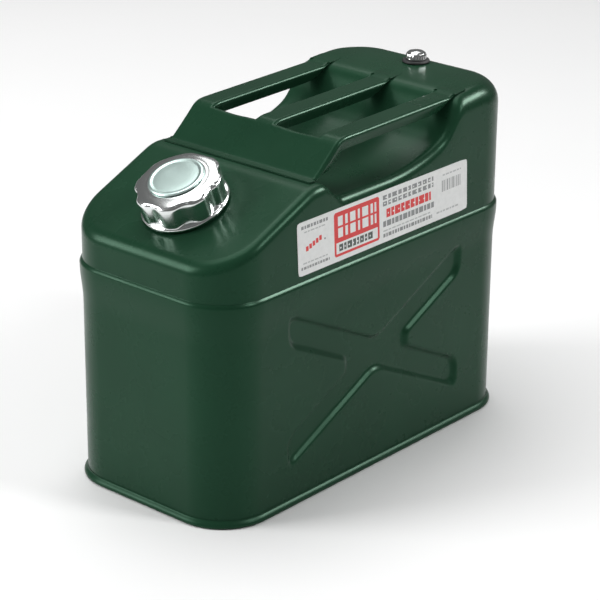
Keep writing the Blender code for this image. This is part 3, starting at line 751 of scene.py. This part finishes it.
def build_label():
    lx0, lx1, lz0, lz1 = -89.1, 101.1, 173.4, 213.2
    blocks = []

    def rect(x0, z0, x1, z1, ink):
        blocks.append((x0, z0, x1, z1, ink))

    def row(x0, x1, z0, z1, ink, widths, gap):
        """A row of plain blocks that stands for a printed line."""
        x, i = x0, 0
        while x < x1 - 0.8:
            w = widths[i % len(widths)]
            rect(x, z0, min(x + w, x1), z1, ink)
            x += w + gap
            i += 1
    # left group
    row(-85, -57, 207.6, 210.0, G_, (2.6, 1.6, 3.2, 2.0), 0.9)
    row(-82, -60, 204.6, 205.6, P_, (3.0, 2.0, 4.2), 0.8)
    for k in range(5):                  # a plain diagonal of red blocks
        rect(-80.6 + 3.5 * k, 190.6 + 1.1 * k, -77.9 + 3.5 * k, 194.2 + 1.1 * k, R_)
    rect(-61.2, 194.2, -59.8, 195.6, G_)
    row(-84, -58, 181.6, 182.6, P_, (4.0, 2.4, 3.0), 0.9)
    row(-86, -56, 177.6, 179.6, G_, (1.8, 2.8, 1.4, 2.2), 0.8)
    # red framed panel
    bx0, bx1, bz0, bz1 = -50.6, -1.2, 177.0, 210.4
    rect(bx0 + 1.2, bz0, bx1 - 1.2, bz1, R_)
    rect(bx0 + 0.6, bz0 + 0.4, bx1 - 0.6, bz1 - 0.4, R_)
    rect(bx0, bz0 + 1.2, bx1, bz1 - 1.2, R_)
    rect(bx0 + 2.0, bz0 + 2.0, bx1 - 2.0, bz0 + 10.4, W_)
    # plain white stripes knocked out of the red field
    for x0, x1 in ((-46.4, -41.2), (-38.6, -35.8), (-33.2, -27.4), (-24.8, -22.6), (-20.0, -13.4), (-10.8, -8.2), (-6.4, -4.4)):
        rect(x0, 191.0, x1, 207.0, W_)
    row(-47.0, -4.0, 198.2, 199.8, R_, (43.0,), 0.5)
    row(-45.6, -7.0, 180.6, 185.8, D_, (4.2, 2.6, 5.0, 3.2, 2.2), 1.1)
    row(-44.6, -8.0, 182.4, 183.6, W_, (1.4, 1.0), 3.4)
    # right group
    row(3.0, 61.0, 201.2, 209.4, G_, (4.6, 3.0, 5.4, 3.8), 1.5)
    row(3.0, 61.0, 204.6, 206.0, W_, (61.0,), 1.0)
    row(4.4, 61.0, 202.6, 203.6, W_, (1.6, 2.2), 4.1)
    row(6.0, 61.0, 207.0, 208.0, W_, (2.0, 1.2), 4.6)
    row(6.8, 58.0, 191.8, 198.4, R_, (4.6, 3.4, 6.2, 4.0, 5.4), 0.8)
    row(8.4, 56.4, 194.4, 195.5, W_, (1.2, 1.8), 4.4)
    row(3.0, 62.6, 185.2, 189.6, G_, (3.2, 4.8, 2.6, 3.8), 1.0)
    row(3.0, 58.8, 181.6, 182.6, P_, (5.0, 3.0, 4.0), 1.0)
    row(3.0, 59.2, 177.2, 180.0, G_, (2.4, 1.6, 3.4, 2.0), 0.9)
    x = 71.0
    for i, w in enumerate((1.0, 1.8, 0.7, 1.2, 2.0, 0.8, 1.5, 0.9, 1.9, 0.8, 1.2)):
        rect(x, 194.4, x + w, 203.2, P_ if i % 3 else G_)
        x += w + 0.85
    row(64.5, 90.5, 178.6, 180.0, P_, (3.6, 2.0, 2.8), 0.9)
    row(72.0, 94.0, 206.6, 207.8, P_, (2.6, 3.8), 1.0)
    xs = {lx0, lx1}
    zs = {lz0, lz1}
    for b in blocks:
        xs.update((b[0], b[2]))
        zs.update((b[1], b[3]))

    def tidy(vals):
        vals = sorted(vals)
        keep = [vals[0]]
        for v in vals[1:]:
            if v - keep[-1] > 0.04:
                keep.append(v)
        keep[-1] = vals[-1]
        return keep
    xs, zs = tidy(xs), tidy(zs)
    y0, y1 = -HW - 0.06, -HW - 0.34
    verts, faces, ids = [], [], []
    nx, nz = len(xs), len(zs)
    rc = 2.2

    def corner(x, z):
        """Pull the label's corner points on to a small radius."""
        cx = min(max(x, lx0 + rc), lx1 - rc)
        cz = min(max(z, lz0 + rc), lz1 - rc)
        dx, dz = x - cx, z - cz
        d = math.hypot(dx, dz)
        if d > rc:
            x, z = cx + dx * rc / d, cz + dz * rc / d
        return x, z
    for z in zs:
        for x in xs:
            px, pz = corner(x, z)
            verts.append((px + (193.0 - pz) * 0.057, y1, pz))     # stuck on very slightly askew
    for k in range(nz - 1):
        for i in range(nx - 1):
            mx, mz = (xs[i] + xs[i + 1]) / 2, (zs[k] + zs[k + 1]) / 2
            ink = W_
            for b in blocks:
                if b[0] <= mx <= b[2] and b[1] <= mz <= b[3]:
                    ink = b[4]
            a = k * nx + i
            faces.append((a, a + 1, a + nx + 1, a + nx))
            ids.append(ink)
    rim = [i for i in range(nx)] + [k * nx + nx - 1 for k in range(1, nz)]
    rim += [(nz - 1) * nx + i for i in range(nx - 2, -1, -1)] + [k * nx for k in range(nz - 2, 0, -1)]
    back = []
    for v in rim:
        x, _, z = verts[v]
        back.append(len(verts))
        verts.append((x, y0, z))
    n = len(rim)
    for i in range(n):
        j = (i + 1) % n
        faces.append((rim[i], rim[j], back[j], back[i]))
        ids.append(W_)
    faces.append(tuple(back))
    ids.append(W_)
    me_ob = make("side_label_fine", verts, faces, [INK_WHITE, INK_RED, INK_GREY, INK_PALE, INK_DARK], 0, fix=False, mat_ids=ids)
    bm = bmesh.new()
    bm.from_mesh(me_ob.data)
    bmesh.ops.recalc_face_normals(bm, faces=bm.faces)
    if bm.calc_volume(signed=True) < 0:
        bmesh.ops.reverse_faces(bm, faces=bm.faces)
    bm.to_mesh(me_ob.data)
    bm.free()
    me_ob.data.shade_flat()
    return me_ob


label = build_label()
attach(label, "root")
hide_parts("side_label")

# ------------------------------------------------------------------ screw cap
LOBES, TIP0 = 8, math.radians(-110)
CAP_H = 24.0


def lobe(th):
    """1 over a lobe's broad crest, 0 in the hollow between two lobes."""
    c = 0.5 + 0.5 * math.cos(LOBES * (th - TIP0))
    return smooth(c ** 0.62)


def cap_shape(th, r, h):
    if h < 4.6 or r < 29.0:
        return r, h
    k = smooth((h - 4.6) / 0.9)
    w = smooth((r - 29.0) / 1.8)
    return r - 2.7 * k * w * (1 - lobe(th)), h


def cap_profile():
    p = [(30.8, 1.9), (31.5, 1.95), (31.9, 2.2), (32.1, 2.7), (32.1, 3.6), (31.9, 4.1), (31.5, 4.4),
         (31.3, 4.7), (31.2, 5.0), (31.2, 5.6)]
    for k in range(1, 9):
        h = 5.6 + (19.6 - 5.6) * k / 8
        p.append((31.2 + 0.7 * k / 8, h))
    for k in range(1, 8):
        a = math.radians(66) * k / 7
        p.append((29.4 + 2.5 * math.cos(a), 19.9 + 2.5 * math.sin(a)))
    p += [(29.6, 22.65), (28.6, 23.05), (27.2, 23.5), (25.6, 23.86), (24.2, 24.06), (23.0, 24.16), (22.2, 24.2),
          (21.6, 24.36), (20.8, 24.4), (10.0, 24.4), (0, 24.4)]
    return p


inside = [(0, 23.36), (20, 23.36), (25.0, 23.36), (26.6, 22.6), (27.6, 22.1), (28.2, 21.0), (28.4, 10.0), (28.4, 2.9), (28.6, 2.4), (29.2, 2.0)]
cap = turned("cap_shell_fine", CAP_F, cap_profile() + inside, M_CAP, 256, cap_shape, 60)
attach(cap, "cap")
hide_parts("cap_shell")

disc_prof = [(0, 24.7), (18.6, 24.7), (19.6, 24.72), (20.2, 24.95), (20.35, 25.3), (20.3, 25.6), (20.1, 25.85), (19.6, 26.2),
             (19.1, 26.42), (18.5, 26.5), (17.9, 26.45), (17.4, 26.25), (17.0, 26.05), (16.5, 26.0), (15.6, 26.1),
             (10.0, 26.2), (4.0, 26.24), (0, 26.25)]
disc = turned("cap_centre_disc_fine", CAP_F, disc_prof, M_DISC, 128)
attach(disc, "cap")
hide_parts("cap_centre_disc")

# ------------------------------------------------------------------ vent screw
knob_prof = round_chain([(0, 2.5), (8.0, 2.5), (8.2, 3.4), (8.0, 5.6), (7.3, 7.2), (5.6, 8.4), (3.0, 9.0), (0, 9.1)],
                        [0, 0.4, 0.5, 1.2, 1.0, 1.0, 1.0, 0], 3)


def knob_shape(th, r, h):
    k = smooth((h - 3.2) / 0.8) * smooth((7.4 - h) / 0.8) * (1.0 if r > 6.6 else 0.0)
    return r - 0.28 * k * (0.5 + 0.5 * math.cos(24 * th)), h


knob = turned("vent_knob_fine", VENT_F, knob_prof, M_KNOB, 192, knob_shape, 60)
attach(knob, "vent_screw")
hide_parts("vent_knob")
wash = turned("vent_washer_fine", VENT_F,
              round_chain([(3.5, 0.3), (10.4, 0.3), (10.6, 1.0), (10.1, 2.2), (3.5, 2.2)], [0.1, 0.3, 0.3, 0.6, 0.2], 4),
              M_RUBV, 96)
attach(wash, "vent_seal")
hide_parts("vent_washer")

# ------------------------------------------------------------------ CAD nodes that stay, with their finishes
for nm, mt in (("neck_seat", M_SEAT), ("filler_neck", M_PLATE), ("cap_liner", M_PLATE), ("vent_boss", M_PLATE),
               ("vent_stud", M_PLATE), ("cap_gasket", M_RUB), ("spout_gasket", M_RUB),
               ("spout_flange", M_SPOUT), ("spout_hose", M_SPOUT), ("spout_tip", M_SPOUT)):
    ob = NODES[nm]
    if not ob.data.materials:
        ob.data.materials.append(mt)
    for i in range(len(ob.data.materials)):
        ob.data.materials[i] = mt

# ------------------------------------------------------------------ floor, light, camera
fm = Mat("pale_floor")
fn = fm.noise(3.0, 3.0, 0.5)
fm.link(fm.mixc(fn, (0.93, 0.93, 0.93), (0.95, 0.95, 0.95)), fm.b.inputs["Base Color"])
fm.link(fm.remap(fn, 0.75, 0.85), fm.b.inputs["Roughness"])
fm.set(Specular_IOR_Level=0.15)
me = bpy.data.meshes.new("floor")
S = 9.0
me.from_pydata([(-S, -S, 0), (S, -S, 0), (S, S, 0), (-S, S, 0)], [], [(0, 1, 2, 3)])
me.materials.append(fm.m)
floor = bpy.data.objects.new("floor", me)
floor.location = (0, 0, -0.0003)
SC.collection.objects.link(floor)


def area(name, loc, target, size, power, size_y=None):
    d = bpy.data.lights.new(name, 'AREA')
    d.shape = 'RECTANGLE'
    d.size, d.size_y = size, size_y or size
    d.energy = power
    o = bpy.data.objects.new(name, d)
    o.location = loc
    o.rotation_euler = (Vector(target) - Vector(loc)).to_track_quat('-Z', 'Y').to_euler()
    SC.collection.objects.link(o)
    return o


area("left_back", (-1.95, 1.55, 1.25), (0, 0, 0.12), 1.1, 42, 1.1)
rim_light = area("front_right", (1.50, -1.00, 1.45), (0, 0, 0.15), 0.8, 41, 0.5)
rim_light.visible_diffuse = False
area("front_soft", (0.48, -1.62, 1.65), (0, 0, 0.15), 0.42, 17, 0.75)
area("top_back", (1.10, 0.85, 2.35), (0, 0, 0.12), 1.5, 16, 1.5)
area("overhead", (-0.2, 0.45, 2.55), (0, 0, 0.1), 1.7, 31, 1.7)
w = bpy.data.worlds.new("studio")
SC.world = w
w.use_nodes = True
w.node_tree.nodes["Background"].inputs["Color"].default_value = (1, 1, 1, 1)
w.node_tree.nodes["Background"].inputs["Strength"].default_value = 0.15

az, el, roll = math.radians(-48.9922), math.radians(22.2804), math.radians(0.5179)
back = Vector((math.sin(az) * math.cos(el), -math.cos(az) * math.cos(el), math.sin(el)))
right = Vector((math.cos(az), math.sin(az), 0))
up = back.cross(right)
r2 = right * math.cos(roll) + up * math.sin(roll)
u2 = -right * math.sin(roll) + up * math.cos(roll)
cam = bpy.data.cameras.new("camera")
cam.lens, cam.sensor_width, cam.sensor_fit = 138.574, 36.0, 'HORIZONTAL'
cam.clip_start, cam.clip_end = 0.05, 60
co = bpy.data.objects.new("camera", cam)
co.matrix_world = Matrix(((r2.x, u2.x, back.x, -1.20124669), (r2.y, u2.y, back.y, -1.04950452),
                          (r2.z, u2.z, back.z, 0.76180787), (0, 0, 0, 1)))
SC.collection.objects.link(co)
SC.camera = co
SC.view_settings.view_transform = 'Standard'
SC.view_settings.look = 'None'
